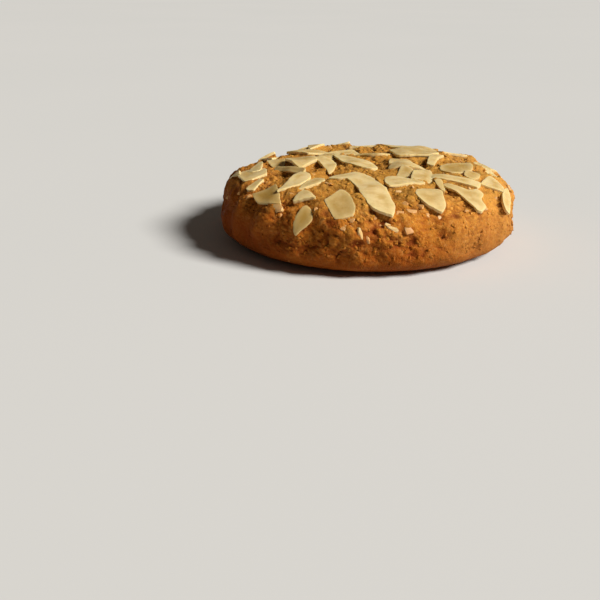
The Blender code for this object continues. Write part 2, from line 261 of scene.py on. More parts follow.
SIDE_REACH = 37 * MM
SIDE_LENGTH = 4.5 * MM
SIDE_SHARE = 0.12
BREAK_SEED = 12
LOOKS_SEED = 17
TONE_BIAS = 1.6

# The fine form of a slice, which the solid leaves out.
FINE_POINTS = 48
RIM_STEP = 0.32 * MM
INNER_STEP = 0.5 * MM
EASINGS = 2
SHARP_CORNER = math.radians(52)
SHARP_CUT = 0.2 * MM
SOFT_CUT = 0.5 * MM
LONGEST_CUT = 0.25
RIM_ROUGHNESS = 0.12 * MM
RIM_ROUGHNESS_SIZE = 0.9 * MM
RIM_WAVE = 0.3 * MM
RIM_WAVE_SIZE = 2.8 * MM
SLICE_BEVEL = 0.12 * MM
BEVELLED_TURN = math.radians(50)
PALE_EDGE = 1.3 * MM
SLICE_CURLS = (-0.3 * MM, 0.3 * MM)
DRAPED_AT = 0.4
DRAPE = 0.6
DEEPEST_DRAPE = 0.9 * MM
POKING = 1.2 * MM
PRESSED = 0.3 * MM
PRESSED_FACING = 0.5
BURIED = 0.8 * MM
HOLLOW = 2.6 * MM
LIFTED = 0.8
FINE_SINK = 0.4 * MM
SLICE_HEIGHTS = (0.4 * MM, 0.7 * MM)
SLICE_HEIGHTS_SIZE = 5 * MM
SLICE_WAVE = 0.1 * MM
SLICE_WAVE_SIZE = 3.2 * MM
DRAWS = (0, 9)

# The nibs that show best, with their full sizes, and the rule for the other nibs and the crumbs.
Nib = namedtuple("Nib", "bearing reach heading long wide toasted", defaults=(0.8,))
MAIN_NIBS = (
    Nib(191, 32.9, 0, 1.8, 1.2),
    Nib(202, 30.1, 20, 1.4, 1.0),
    Nib(212, 30.2, 0, 1.8, 1.4),
    Nib(231, 30.9, 85, 3.3, 2.2, 0.4),
    Nib(247, 29.5, 0, 2.0, 1.3),
    Nib(259, 33.3, 85, 2.5, 1.9),
    Nib(263.7, 34.0, 8, 2.8, 1.3, 0.0),
    Nib(266.2, 34.8, 12, 2.4, 1.1),
    Nib(274.5, 32.8, 62, 3.3, 1.3, 0.3),
    Nib(280.3, 33.0, 15, 2.6, 1.7),
    Nib(281, 26.9, 60, 2.2, 1.5),
    Nib(278.5, 29.3, 80, 2.8, 1.6),
    Nib(283, 29.2, 70, 2.8, 1.6),
    Nib(287, 28.0, 40, 2.2, 1.4),
    Nib(289.5, 30.1, 60, 2.4, 1.3),
    Nib(268.5, 30.4, 0, 1.7, 1.3),
    Nib(260.5, 31.5, 70, 2.1, 1.4),
    Nib(256.5, 31.2, 30, 1.7, 1.1),
    Nib(237, 41.8, 0, 0.8, 0.6),
)
Scatter = namedtuple("Scatter", "count seed reach sizes widths heights sink")
NIBS = Scatter(90, 21, 40 * MM, (0.4 * MM, 1.0 * MM), (0.55, 0.9), (0.5, 0.75), 0.75)
CRUMBS = Scatter(1200, 22, 42 * MM, (0.2 * MM, 0.5 * MM), (0.6, 1.0), (0.35, 0.55), 0.45)
SCATTERED_TONES = (0.5, 1.0)
SCATTERED_TURNS = (-0.4, 0.4)
# The crumbs take a little of the crust's painted light on raised crumb.
SCATTERED_RAISED = 0.6
PALE_SINK = 0.3
MAIN_NIB_HEIGHT = 0.7
NIBS_ABOVE = 6 * MM
NIBS_FADE = 8 * MM
NIB_BLOCK = 1.7
NIB_CUTS = 12
NIB_CUT_DEPTHS = (0.6, 0.9)
NIB_BEVEL = 0.16
LUMP_GRAIN = 1.3
LUMP_UNEVENNESS = 1.1
LUMP_DRAWS = (0, 90)

# The patterns on the pieces: the size of their grain, how detailed they are, and where they are read from.
Pattern = namedtuple("Pattern", "size detail draw")
PATTERN_ROUGHNESS = 0.55
CRUST_PATTERNS = {
    "patches": Pattern(9 * MM, 3.0, 0.03),
    "blotches": Pattern(3.2 * MM, 3.0, 0.17),
    "mottle": Pattern(1.3 * MM, 4.0, 0.11),
    "grain": Pattern(0.5 * MM, 2.0, 0.23),
    "dust": Pattern(0.22 * MM, 3.0, 0.4),
}
ALMOND_STREAKS = Pattern(2.4 * MM, 3.0, 0.07)
ALMOND_GRAIN = Pattern(0.5 * MM, 3.0, 0.31)
FLOOR_PATTERN = Pattern(0.2, 1.0, 0.0)

# The finest relief, which is too fine for the mesh, and how rough the finishes are.
CRUST_BUMP = 0.28 * MM
CRUST_DUST = 0.6
CRUST_ROUGHNESS = 0.6
CRUST_ROUGHNESS_PLAY = 0.3
ALMOND_BUMP = 0.06 * MM
ALMOND_BUMP_STREAKS = 0.3
ALMOND_ROUGHNESS = 0.38
ALMOND_ROUGHNESS_PLAY = 0.25

# The crust's colours, as 0 to 255 display values. Each tint comes in over those before it where its pattern
# passes the start, as fast as the gain says. A gain below 0 is for a pattern that stays under the start.
Tint = namedtuple("Tint", "pattern start gain share colour")
CRUST_GOLD = (194, 117, 29)
CRUST_TINTS = (
    Tint("patches", 0.38, 4.0, 1.0, (214, 144, 52)),
    Tint("blotches", 0.52, 4.0, 0.6, (170, 90, 26)),
    Tint("mottle", 0.52, 4.0, 0.7, (162, 84, 24)),
    Tint("mottle", 0.46, -5.0, 0.55, (234, 170, 92)),
    Tint("grain", 0.54, 6.0, 0.5, (128, 58, 14)),
    Tint("grain", 0.45, -6.0, 0.5, (238, 176, 100)),
    # Painted light and shade by the crumb's relief: golden on its raised tops, darker in its dips.
    Tint("raised", 0.5, 2.0, 0.5, (226, 160, 68)),
    Tint("raised", 0.48, -3.0, 0.6, (144, 68, 16)),
    # Browned at the rim, and darker up the left flank as painted shade.
    Tint("browned_and_flank_shade", 0.0, 1.0, 0.85, (118, 46, 3)),
    # Painted shade, dark and reddish, in the crumb's pits, creases, gaps and cracks.
    Tint("pit", 0.0, 1.0, 0.9, (124, 56, 16)),
    Tint("height", 11 * MM, 0.25 / MM, 0.3, (170, 150, 75)),
    # Painted light on the right side, which faces the lamp, and painted shade on the left side.
    Tint("painted light on right", 0.0, 1.0, 0.28, (226, 172, 92)),
    Tint("painted shade on left", 0.0, 1.0, 0.24, (142, 50, 3)),
)
# Where the painted light on the right and the painted shade on the left begin, and how fast they grow.
RIGHT_SIDE = (10 * MM, 0.05 / MM)
LEFT_SIDE = (-4 * MM, -0.04 / MM)
SIDES_FROM_FOOT = 0.4 / MM

# The almond's colours, for the slices, and for the nibs, which browned more.
Almond = namedtuple("Almond", "light shaded toasted rim")
KERNEL = Almond((226, 198, 142), (204, 168, 102), (176, 137, 64), (232, 206, 146))
CHOPPED = Almond((232, 196, 136), (220, 174, 108), (196, 126, 60), (206, 142, 78))
STREAKS = (0.4, 4.0)
TOASTING = 0.8
TOASTED_GRAIN = 0.4
TOASTED_STREAKS = 0.6
EDGE_PALENESS = 0.8
EDGE_TOASTING = 0.3

# The studio: a broad soft lamp high on the right, and a dim pale surround.
KEY_BEARING = math.radians(-24)
KEY_HEIGHT = math.radians(37)
KEY_SPREAD = math.radians(20)
KEY_STRENGTH = 5.0
KEY_COLOUR = (1.0, 0.98, 0.94)
WORLD_STRENGTH = 0.06
WORLD_COLOUR = (1.0, 0.86, 0.72, 1.0)
FLOOR_SIZE = 12.0
FLOOR_GAP = 0.03 * MM
FLOOR_PALE = (212, 212, 210)
FLOOR_PALER = (216, 215, 213)
BACKDROP = (0.72, 0.71, 0.69, 1.0)


def profile_of_the_dough():
    """(way over the crust, distance from the axis, height) of the evenly risen dough, from crown to foot."""
    rise, side = CROWN_HEIGHT - BELLY_HEIGHT, DOUGH_RADIUS - FOOT_RADIUS
    line = []
    for step in range(2 * PROFILE_STEPS + 1):
        turn = math.pi / 2 * (step / PROFILE_STEPS)
        level, drop = abs(math.sin(turn)), abs(math.cos(turn))
        if step <= PROFILE_STEPS:
            out = DOUGH_RADIUS * level ** (2 / CROWN_FULLNESS)
            up = BELLY_HEIGHT + rise * drop ** (2 / CROWN_FULLNESS)
        else:
            out = FOOT_RADIUS + side * level ** (2 / BELLY_FULLNESS)
            up = BELLY_HEIGHT - BELLY_HEIGHT * drop ** (2 / BELLY_FULLNESS)
            if 0 < up < FOOT_HEIGHT:
                continue
        way = line[-1][0] + math.dist(line[-1][1:], (out, up)) if line else 0.0
        line.append((way, out, up))
    return line


PROFILE = profile_of_the_dough()
WAYS = [way for way, _, _ in PROFILE]
FOOT_REACH = WAYS[-1]


def on_profile(reach):
    """(distance from the axis, height, angle of the slope) of the dough, this far over the crust."""
    index = min(max(bisect(WAYS, reach), 1), len(PROFILE) - 1)
    (start, out0, up0), (end, out1, up1) = PROFILE[index - 1 : index + 1]
    share = (reach - start) / (end - start)
    slope = math.atan2(up0 - up1, out1 - out0)
    return out0 + share * (out1 - out0), up0 + share * (up1 - up0), slope


def on_the_crust(bearing, reach, heading=0.0):
    """The frame of a piece on the crust: X is its heading, and Z points straight out of the dough."""
    out, up, slope = on_profile(reach)
    place = Matrix.Translation((out * math.cos(bearing), out * math.sin(bearing), up))
    slant = Matrix.Rotation(bearing, 4, "Z") @ Matrix.Rotation(slope, 4, "Y")
    return place @ slant @ Matrix.Rotation(heading, 4, "Z")


def clamp(value):
    return min(1.0, max(0.0, value))


def swell_and_crags(point):
    """The relief that the solid has too."""
    swell = noise.noise(point / SWELL_SIZE + SWELL_DRAW)
    crag = noise.noise(point / CRAG_SIZE + CRAG_DRAW)
    fade = clamp((point.z - FOOT_HEIGHT) / FOOT_FADE)
    return fade * (SWELL_HEIGHT * swell + CRAG_HEIGHT * (crag - CRAG_SINK))


def nearness(bearing, middle, spread):
    """From 1 at the middle bearing to 0 at this spread to either side."""
    turn = abs((bearing - middle + math.pi) % (2 * math.pi) - math.pi)
    return clamp(SPREAD_PLATEAU - SPREAD_PLATEAU * turn / spread)


def crumbliness(point):
    """From 0 on the smooth brown rim and left flank to 1 where the crust has crumbled."""
    bearing = math.atan2(point.y, point.x)
    flank = nearness(bearing, SMOOTH_FLANK_BEARING, SMOOTH_FLANK_SPREAD)
    flank *= clamp((SMOOTH_FLANK_TOP - point.z) / SMOOTH_FLANK_FADE)
    rim = clamp((point.z - SMOOTH_RIM[0]) / (SMOOTH_RIM[1] - SMOOTH_RIM[0]))
    patch = clamp(PATCH_LEVEL + PATCH_PLAY * noise.noise(point / PATCH_SIZE + PATCH_DRAW))
    return rim * patch * (1 - SMOOTH_FLANK_SHARE * flank)


def browning_and_flank_shade(point):
    """From 0 on the crown to 1 at the rim, which baked darkest, with painted shade further up the left flank.
    """
    flank = nearness(math.atan2(point.y, point.x), SMOOTH_FLANK_BEARING, SMOOTH_FLANK_SPREAD)
    further = FLANK_PAINTED_SHADE * flank * clamp((FLANK_PAINTED_SHADE_BELOW - point.z) / FLANK_PAINTED_SHADE_FADE)
    return clamp((BROWNED_BELOW - point.z) / BROWNING_FADE + further)


def crumb_relief(point):
    """(height, painted shade from 0 to 1 in pits and creases) of the crumb at this point of the crust."""
    rough = crumbliness(point)
    bearing = math.atan2(point.y, point.x)
    coarse = 1 - SANDY_SHARE * nearness(bearing, SANDY_BEARING, SANDY_SPREAD)
    warped = point + noise.noise_vector(point / WARP_SIZE) * WARP
    near, far = noise.voronoi(warped / CHUNKS.size + CHUNKS.draw)[0][:2]
    chunk = 1 - clamp(1 - (far - near) * CREASE_SHARPNESS) ** 2
    height = coarse * CHUNKS.height * (chunk - CHUNK_LEVEL)
    shade = CREASE_SHADE * coarse * (1 - chunk)
    fine = SANDY_FINE_SHARE + (1 - SANDY_FINE_SHARE) * coarse
    for crumb in CRUMB:
        bulge = min(1.0, BULGE_FULLNESS * abs(noise.noise(warped / crumb.size + crumb.draw)))
        height += fine * crumb.height * (bulge - BULGE_LEVEL)
        shade += GAP_SHADE * clamp(1 - GAP_SHARPNESS * bulge)
    spots = noise.voronoi(warped / PIT_SPACING)
    away, middle = spots[0][0] * PIT_SPACING, spots[1][0]
    fell_out = noise.cell(middle * PIT_DRAW) > 1 - 2 * PIT_SHARE
    pit = clamp(PIT_STEEPNESS * (1 - away / PIT_RADIUS)) if fell_out else 0.0
    for place, radius in PIT_PLACES:
        pit = max(pit, clamp(MAIN_PIT_STEEPNESS * (1 - (warped - place).length / radius)))
    line = abs(noise.noise(warped / CRACK_SIZE + CRACK_DRAW))
    crack = clamp(1 - line / CRACK_WIDTH)
    height = rough * (height - coarse * (PIT_DEPTH * pit + CRACK_DEPTH * crack))
    wrinkle = noise.noise(Vector((bearing * WRINKLE_TURNS, point.z / WRINKLE_HEIGHT, 0.0)))
    height += (1 - rough) * WRINKLE_DEPTH * wrinkle * clamp(point.z / WRINKLE_FADE)
    return height, clamp(rough * (shade + PIT_SHADE * pit + CRACK_SHADE * crack))


PIT_PLACES = []
for main_pit in MAIN_PITS:
    pit_place = on_the_crust(math.radians(main_pit.bearing), main_pit.reach * MM).translation
    PIT_PLACES.append((pit_place, main_pit.radius * MM))


def mesh_object(name, bm):
    """A smooth-shaded object of this bmesh, which is used up."""
    mesh = bpy.data.meshes.new(name)
    bm.to_mesh(mesh)
    bm.free()
    mesh.shade_smooth()
    made = bpy.data.objects.new(name, mesh)
    bpy.context.scene.collection.objects.link(made)
    return made


def dough_piece():
    """The dough, a ball of squares led over the profile with the crumb in it, and each point's way out."""
    bm = bmesh.new()
    bmesh.ops.create_cube(bm, size=2.0)
    bmesh.ops.subdivide_edges(bm, edges=bm.edges, cuts=DOUGH_CUTS, use_grid_fill=True)
    pit_layer = bm.verts.layers.float.new("pit")
    brown_and_shade_layer = bm.verts.layers.float.new("browned_and_flank_shade")
    raised_layer = bm.verts.layers.float.new("raised")
    outwards = []
    for vert in bm.verts:
        spread = Vector([math.tan(x * math.pi / 4) for x in vert.co]).normalized()
        tilt = math.acos(max(-1.0, min(1.0, spread.z)))
        bearing = math.atan2(spread.y, spread.x)
        if tilt < FOOT_TILT:
            place = on_the_crust(bearing, FOOT_REACH * tilt / FOOT_TILT)
            outwards.append(place.col[2].to_3d())
            point = place.translation
            slow = swell_and_crags(point)
            # The pit layer holds painted shade for the crumb's pits, creases, gaps and cracks.
            fine, vert[pit_layer] = crumb_relief(point)
            vert.co = place @ Vector((0.0, 0.0, slow + fine * clamp(point.z / CRUMB_FADE)))
            vert[brown_and_shade_layer] = browning_and_flank_shade(point)
            # How raised the crumb is, which the crust's colour turns into painted light on tops and painted
            # shade in dips.
            vert[raised_layer] = clamp(0.5 + fine / RAISED_RANGE)
        else:
            out = FOOT_RADIUS * (math.pi - tilt) / (math.pi - FOOT_TILT)
            vert.co = (out * math.cos(bearing), out * math.sin(bearing), 0.0)
            grain = clamp(noise.noise(vert.co / FOOT_GRAIN_SIZE) + FOOT_GRAIN_LEVEL)
            vert.co.z = FOOT_GRAIN * grain * clamp((FOOT_RADIUS - out) / FOOT_EDGE)
            vert[pit_layer] = clamp(2 * grain)
            vert[brown_and_shade_layer] = 1.0
            outwards.append(Vector((0.0, 0.0, -1.0)))
    bmesh.ops.recalc_face_normals(bm, faces=bm.faces)
    return mesh_object("dough", bm), outwards


def bed_slices(dough, outwards, slices):
    """Presses the crumb down where it would poke through a slice, and lifts it where one lies hollow."""
    flat = bmesh.new()
    flat.from_mesh(slices.data)
    tree = BVHTree.FromBMesh(flat)
    flat.free()
    for vert, outward in zip(dough.data.vertices, outwards):
        start = vert.co + outward * POKING
        hit, facing, _, fall = tree.ray_cast(start, -outward, 2 * POKING)
        if hit is not None and facing.dot(outward) > PRESSED_FACING and fall < POKING + BURIED:
            vert.co = hit - outward * PRESSED
            continue
        _, facing, _, gap = tree.ray_cast(vert.co, outward, HOLLOW)
        if gap is not None and facing.dot(outward) < -PRESSED_FACING:
            vert.co += outward * (LIFTED * gap)


def broken_slice(broke, long, wide, points, dice):
    """A flat piece of slice on XY: its own outline, or a pointed oval that broke, scaled to its size."""
    bm = bmesh.new()
    if broke in OUTLINES:
        bm.faces.new([bm.verts.new((x, y, 0.0)) for x, y in OUTLINES[broke]])
    else:
        bmesh.ops.create_circle(bm, cap_ends=True, radius=1.0, segments=points)
        for vert in bm.verts:
            turn = math.atan2(vert.co.y, vert.co.x)
            vert.co.y *= abs(math.sin(turn / 2)) ** SLICE_TAPER
        for facing, distance in BREAKS[broke]:
            angle = math.radians(facing + dice.uniform(-BREAK_PLAY, BREAK_PLAY))
            across = Vector((math.cos(angle), math.sin(angle), 0.0))
            line = across * distance
            whole = bm.verts[:] + bm.edges[:] + bm.faces[:]
            bmesh.ops.bisect_plane(bm, geom=whole, plane_co=line, plane_no=across, clear_outer=True)
    lowest = Vector([min(vert.co[axis] for vert in bm.verts) for axis in range(3)])
    highest = Vector([max(vert.co[axis] for vert in bm.verts) for axis in range(3)])
    if broke in BREAKS:
        bmesh.ops.translate(bm, vec=-(lowest + highest) / 2, verts=bm.verts)
    size = highest - lowest
    bmesh.ops.scale(bm, vec=(long / size.x, wide / size.y, 1.0), verts=bm.verts)
    bmesh.ops.remove_doubles(bm, verts=bm.verts, dist=SHORTEST_EDGE)
    outline = [loop.vert.co.copy() for loop in bm.faces[:][0].loops]
    bm.free()
    return outline


def eased(outline):
    """The outline with its corners rounded, the sharp ones less."""
    for _ in range(EASINGS):
        softer = []
        for before, here, after in zip(outline[-1:] + outline[:-1], outline, outline[1:] + outline[:1]):
            turn = (here - before).angle(after - here, 0.0)
            cut = SHARP_CUT if turn > SHARP_CORNER else SOFT_CUT
            for other in (before, after):
                share = cut / max(cut, (other - here).length)
                softer.append(here.lerp(other, min(LONGEST_CUT, share)))
        outline = softer
    return outline


def stepped(outline):
    """The outline as points about RIM_STEP apart, a little uneven as where a slice broke."""
    points = []
    for here, after in zip(outline, outline[1:] + outline[:1]):
        steps = max(1, round((after - here).length / RIM_STEP))
        points += [here.lerp(after, step / steps) for step in range(steps)]
    uneven = []
    for point in points:
        play = noise.noise_vector(point / RIM_ROUGHNESS_SIZE) * RIM_ROUGHNESS
        play += noise.noise_vector(point / RIM_WAVE_SIZE) * RIM_WAVE
        uneven.append(point + Vector((play.x, play.y, 0.0)))
    return uneven


def slice_slab(outline, draw, curl):
    """A slice in its own frame, lying on XY: thin, a little curled and wavy, with softened edges."""
    rim = stepped(eased(outline))
    lowest = Vector([min(spot[axis] for spot in rim) for axis in range(3)])
    highest = Vector([max(spot[axis] for spot in rim) for axis in range(3)])
    bm = bmesh.new()
    bm.faces.new([bm.verts.new(spot) for spot in rim])
    for across in (Vector((1.0, 0.0, 0.0)), Vector((0.0, 1.0, 0.0))):
        for step in range(1, math.ceil(across.dot(highest - lowest) / INNER_STEP)):
            line = lowest + across * (step * INNER_STEP)
            whole = bm.verts[:] + bm.edges[:] + bm.faces[:]
            bmesh.ops.bisect_plane(bm, geom=whole, plane_co=line, plane_no=across)
    bmesh.ops.remove_doubles(bm, verts=bm.verts, dist=SHORTEST_EDGE)
    bmesh.ops.triangulate(bm, faces=bm.faces)
    bm.normal_update()
    if sum(face.normal.z for face in bm.faces) < 0:
        bmesh.ops.reverse_faces(bm, faces=bm.faces)
    edge_layer = bm.verts.layers.float.new("edge")
    for vert in bm.verts:
        away = min((vert.co - spot).length for spot in rim)
        vert[edge_layer] = clamp(1 - away / PALE_EDGE)
    raised = bmesh.ops.extrude_face_region(bm, geom=bm.faces[:])["geom"]
    for vert in [item for item in raised if isinstance(item, bmesh.types.BMVert)]:
        share = clamp(0.5 + noise.noise(vert.co / SLICE_HEIGHTS_SIZE + draw))
        vert.co.z = SLICE_HEIGHTS[0] + share * (SLICE_HEIGHTS[1] - SLICE_HEIGHTS[0])
    bmesh.ops.recalc_face_normals(bm, faces=bm.faces)
    crease = [edge for edge in bm.edges if edge.calc_face_angle(0.0) > BEVELLED_TURN]
    bmesh.ops.bevel(
        bm, geom=crease, offset=SLICE_BEVEL, segments=2, profile=0.5, affect="EDGES", material=-1,
        clamp_overlap=True,
    )
    half = (highest.x - lowest.x) / 2
    for vert in bm.verts:
        bend = curl * (vert.co.x / half) ** 2
        wave = noise.noise(Vector((vert.co.x, vert.co.y, 0.0)) / SLICE_WAVE_SIZE + draw) * SLICE_WAVE
        vert.co.z += bend + wave
    return bm


def heights_below(probes, place, pile):
    """How high the pile reaches under each probe, from the place's XY plane."""
    down = -place.col[2].to_3d()
    falls = [pile.ray_cast(place @ (probe + Vector((0.0, 0.0, DROP_HEIGHT))), down)[3] for probe in probes]
    return [-DROP_HEIGHT if fall is None else DROP_HEIGHT - fall for fall in falls]


def resting_plane(outline, place, pile):
    """The level at which a flat piece rests on the pile, on three of its points, and the way it faces."""
    probes = [spot * share for spot in outline for share in (1.0, 0.5)]
    held_at = [Vector((p.x, p.y, height)) for p, height in zip(probes, heights_below(probes, place, pile))]
    best = (max(spot.z for spot in held_at), Vector((0.0, 0.0, 1.0)))
    found = False
    for one, two, three in combinations(held_at, 3):
        facing = (two - one).cross(three - one)
        if facing.z < 0:
            facing.negate()
        if facing.z <= facing.length * math.cos(STEEPEST_TILT):
            continue
        facing.normalize()
        level = facing.dot(one) / facing.z
        clear = all(facing.dot(spot) / facing.z < level + FLAT for spot in held_at)
        if clear and (not found or level < best[0]):
            best, found = (level, facing), True
    return best


def strewn_slices():
    """The slices that were not placed one by one: over the back of the crown, and a few on its side."""
    dice = random.Random(STREWN_SEED)
    taken = []
    for piece in MAIN_SLICES:
        place = on_the_crust(math.radians(piece.bearing), piece.reach * MM).translation
        taken.append((place, piece.long * MM))
    strewn = []
    for _ in range(STREWN_TRIES):
        bearing, spread, length = dice.uniform(*STREWN_BEARINGS), dice.random(), dice.uniform(*STREWN_LENGTHS)
        broke, heading = dice.choice(sorted(BREAKS)), dice.uniform(0, 360)
        narrow = dice.uniform(*STREWN_WIDTHS)
        reach = CROWN_REACH * math.sqrt(spread / (1 - SIDE_SHARE))
        if spread > 1 - SIDE_SHARE:
            reach, length = dice.uniform(CROWN_REACH, SIDE_REACH), SIDE_LENGTH
        place = on_the_crust(math.radians(bearing), reach).translation
        if any((place - other).length < STREWN_GAP + STREWN_CROWDING * size for other, size in taken):
            continue
        taken.append((place, length))
        strewn.append(Slice(broke, bearing, reach / MM, heading, length / MM, length / MM * narrow))
        if len(strewn) == STREWN_SLICES:
            break
    return strewn


def almond_slices(dough):
    """All the slices, each at rest on what lay there before, and the pile that they make with the dough."""
    dice, looks = random.Random(BREAK_SEED), random.Random(LOOKS_SEED)
    pile, heap = bmesh.new(), bmesh.new()
    pile.from_mesh(dough.data)
    heap.verts.layers.float.new("tone")
    heap.verts.layers.float.new("edge")
    for piece in strewn_slices() + list(MAIN_SLICES):
        plain_dice = random.Random()
        plain_dice.setstate(dice.getstate())
        coarse = broken_slice(piece.broke, piece.long * MM, piece.wide * MM, SLICE_POINTS, dice)
        fine = broken_slice(piece.broke, piece.long * MM, piece.wide * MM, FINE_POINTS, plain_dice)
        place = on_the_crust(math.radians(piece.bearing), piece.reach * MM, math.radians(piece.heading))
        lying = BVHTree.FromBMesh(pile)
        level, facing = resting_plane(coarse, place, lying)
        ends = [Vector((side * DRAPED_AT * piece.long * MM, 0.0, 0.0)) for side in (-1, 1)]
        gap = level - sum(heights_below(ends, place, lying)) / 2
        drape = min(DEEPEST_DRAPE, DRAPE * max(0.0, gap))
        draw = Vector((looks.uniform(*DRAWS), looks.uniform(*DRAWS), looks.uniform(*DRAWS)))
        slab = slice_slab(fine, draw, looks.uniform(*SLICE_CURLS) - drape)
        tilt = Vector((0.0, 0.0, 1.0)).rotation_difference(facing).to_matrix().to_4x4()
        lean = math.radians(piece.lean)
        rise = level - FINE_SINK + LEANING_RISE * piece.wide * MM * math.sin(lean)
        rest = Matrix.Translation((0.0, 0.0, rise)) @ tilt @ Matrix.Rotation(lean, 4, "X")
        bmesh.ops.transform(slab, matrix=place @ rest, verts=slab.verts)
        tone = slab.verts.layers.float.new("tone")
        shade = looks.random() ** TONE_BIAS
        if piece.toasted is not None:
            shade = piece.toasted
        for vert in slab.verts:
            vert[tone] = shade
        mesh = bpy.data.meshes.new("slab")
        slab.to_mesh(mesh)
        slab.free()
        pile.from_mesh(mesh)
        heap.from_mesh(mesh)
        bpy.data.meshes.remove(mesh)
    return mesh_object("almond_slices", heap), pile


def chopped_nib(dice):
    """An angular chunk of almond of radius 1: a block with its corners cut off."""
    bm = bmesh.new()
    bmesh.ops.create_cube(bm, size=NIB_BLOCK)
    for _ in range(NIB_CUTS):
        across = Vector([dice.gauss(0, 1) for _ in range(3)]).normalized()
        whole = bm.verts[:] + bm.edges[:] + bm.faces[:]
        line = across * dice.uniform(*NIB_CUT_DEPTHS)
        cut = bmesh.ops.bisect_plane(bm, geom=whole, plane_co=line, plane_no=across, clear_outer=True)
        edges = [item for item in cut["geom_cut"] if isinstance(item, bmesh.types.BMEdge)]
        bmesh.ops.contextual_create(bm, geom=edges)
    bmesh.ops.recalc_face_normals(bm, faces=bm.faces)
    bmesh.ops.bevel(
        bm, geom=bm.edges[:], offset=NIB_BEVEL, segments=2, profile=0.5, affect="EDGES", material=-1,
        clamp_overlap=True,
    )
    return bm


def crumb_lump(dice):
    """An uneven round lump of crumb of radius 1."""
    bm = bmesh.new()
    bmesh.ops.create_icosphere(bm, subdivisions=2, radius=1.0)
    draw = Vector((dice.uniform(*LUMP_DRAWS), 0.0, 0.0))
    for vert in bm.verts:
        vert.co *= 1 + LUMP_UNEVENNESS * noise.noise(vert.co * LUMP_GRAIN + draw)
    return bm


def places_for(scatter, main, wanted, dice):
    """The frame, half sizes and tone of each piece: first the main ones, and then others without end."""
    for piece in main:
        place = on_the_crust(math.radians(piece.bearing), piece.reach * MM, math.radians(piece.heading))
        half_long, half_wide = piece.long / 2 * MM, piece.wide / 2 * MM
        yield place, (half_long, half_wide, MAIN_NIB_HEIGHT * half_wide), piece.toasted
    while True:
        bearing, reach = dice.uniform(0, 2 * math.pi), scatter.reach * math.sqrt(dice.random())
        place = on_the_crust(bearing, reach, dice.uniform(0, 2 * math.pi))
        size = dice.uniform(*scatter.sizes)
        wide, high = size * dice.uniform(*scatter.widths), size * dice.uniform(*scatter.heights)
        if dice.random() < wanted(place.translation):
            yield place, (size, wide, high), dice.uniform(*SCATTERED_TONES)


def scattered(name, scatter, main, shape, dough, pile, wanted):
    """Many small pieces of one kind on the bare dough, the more toasted ones sunk deeper than the pale ones.
    """
    dice = random.Random(scatter.seed)
    everything = BVHTree.FromBMesh(pile)
    bare = bmesh.new()
    bare.from_mesh(dough.data)
    crust = BVHTree.FromBMesh(bare)
    bare.free()
    heap = bmesh.new()
    for layer in ("tone", "browned_and_flank_shade", "raised"):
        heap.verts.layers.float.new(layer)
    placed = 0
    for number, (place, size, toasted) in enumerate(places_for(scatter, main, wanted, dice)):
        height = heights_below([Vector()], place, crust)[0]
        if heights_below([Vector()], place, everything)[0] > height + FLAT:
            continue
        bm = shape(random.Random(scatter.seed + number))
        bmesh.ops.scale(bm, vec=size, verts=bm.verts)
        sink = scatter.sink * (PALE_SINK + (1 - PALE_SINK) * toasted) * size[2]
        turn = Matrix.Rotation(dice.uniform(*SCATTERED_TURNS), 4, "Y")
        rest = Matrix.Translation((0.0, 0.0, height - sink)) @ turn
        bmesh.ops.transform(bm, matrix=place @ rest, verts=bm.verts)
        looks = {"tone": toasted, "browned_and_flank_shade": browning_and_flank_shade(place.translation), "raised": SCATTERED_RAISED}
        for name_of_look, value in looks.items():
            layer = bm.verts.layers.float.new(name_of_look)
            for vert in bm.verts:
                vert[layer] = value
        mesh = bpy.data.meshes.new("piece")
        bm.to_mesh(mesh)
        bm.free()
        heap.from_mesh(mesh)
        bpy.data.meshes.remove(mesh)
        placed += 1
        if placed == scatter.count:
            break
    return mesh_object(name, heap)


class Socket:
    """A node's output that can be written in sums: each operator adds a Math node."""

    def __init__(self, tree, output):
        self.tree = tree
        self.output = output

    def math(self, operation, other, swapped=False):
        node = self.tree.nodes.new("ShaderNodeMath")
        node.operation = operation
        pair = (other, self) if swapped else (self, other)
        for slot, value in zip(node.inputs, pair):
            feed(self.tree, slot, value)
        return Socket(self.tree, node.outputs[0])

    def __add__(self, other):
        return self.math("ADD", other)

    __radd__ = __add__

    def __sub__(self, other):
        return self.math("SUBTRACT", other)

    def __rsub__(self, other):
        return self.math("SUBTRACT", other, swapped=True)

    def __mul__(self, other):
        return self.math("MULTIPLY", other)

    __rmul__ = __mul__

    def held(self):
        """The value kept between 0 and 1."""
        added = self.math("ADD", 0.0)
        added.output.node.use_clamp = True
        return added


def feed(tree, slot, value):
    """Links a Socket to a node's input, or sets the input to a plain value."""
    if isinstance(value, Socket):
        tree.links.new(value.output, slot)
    else:
        slot.default_value = value


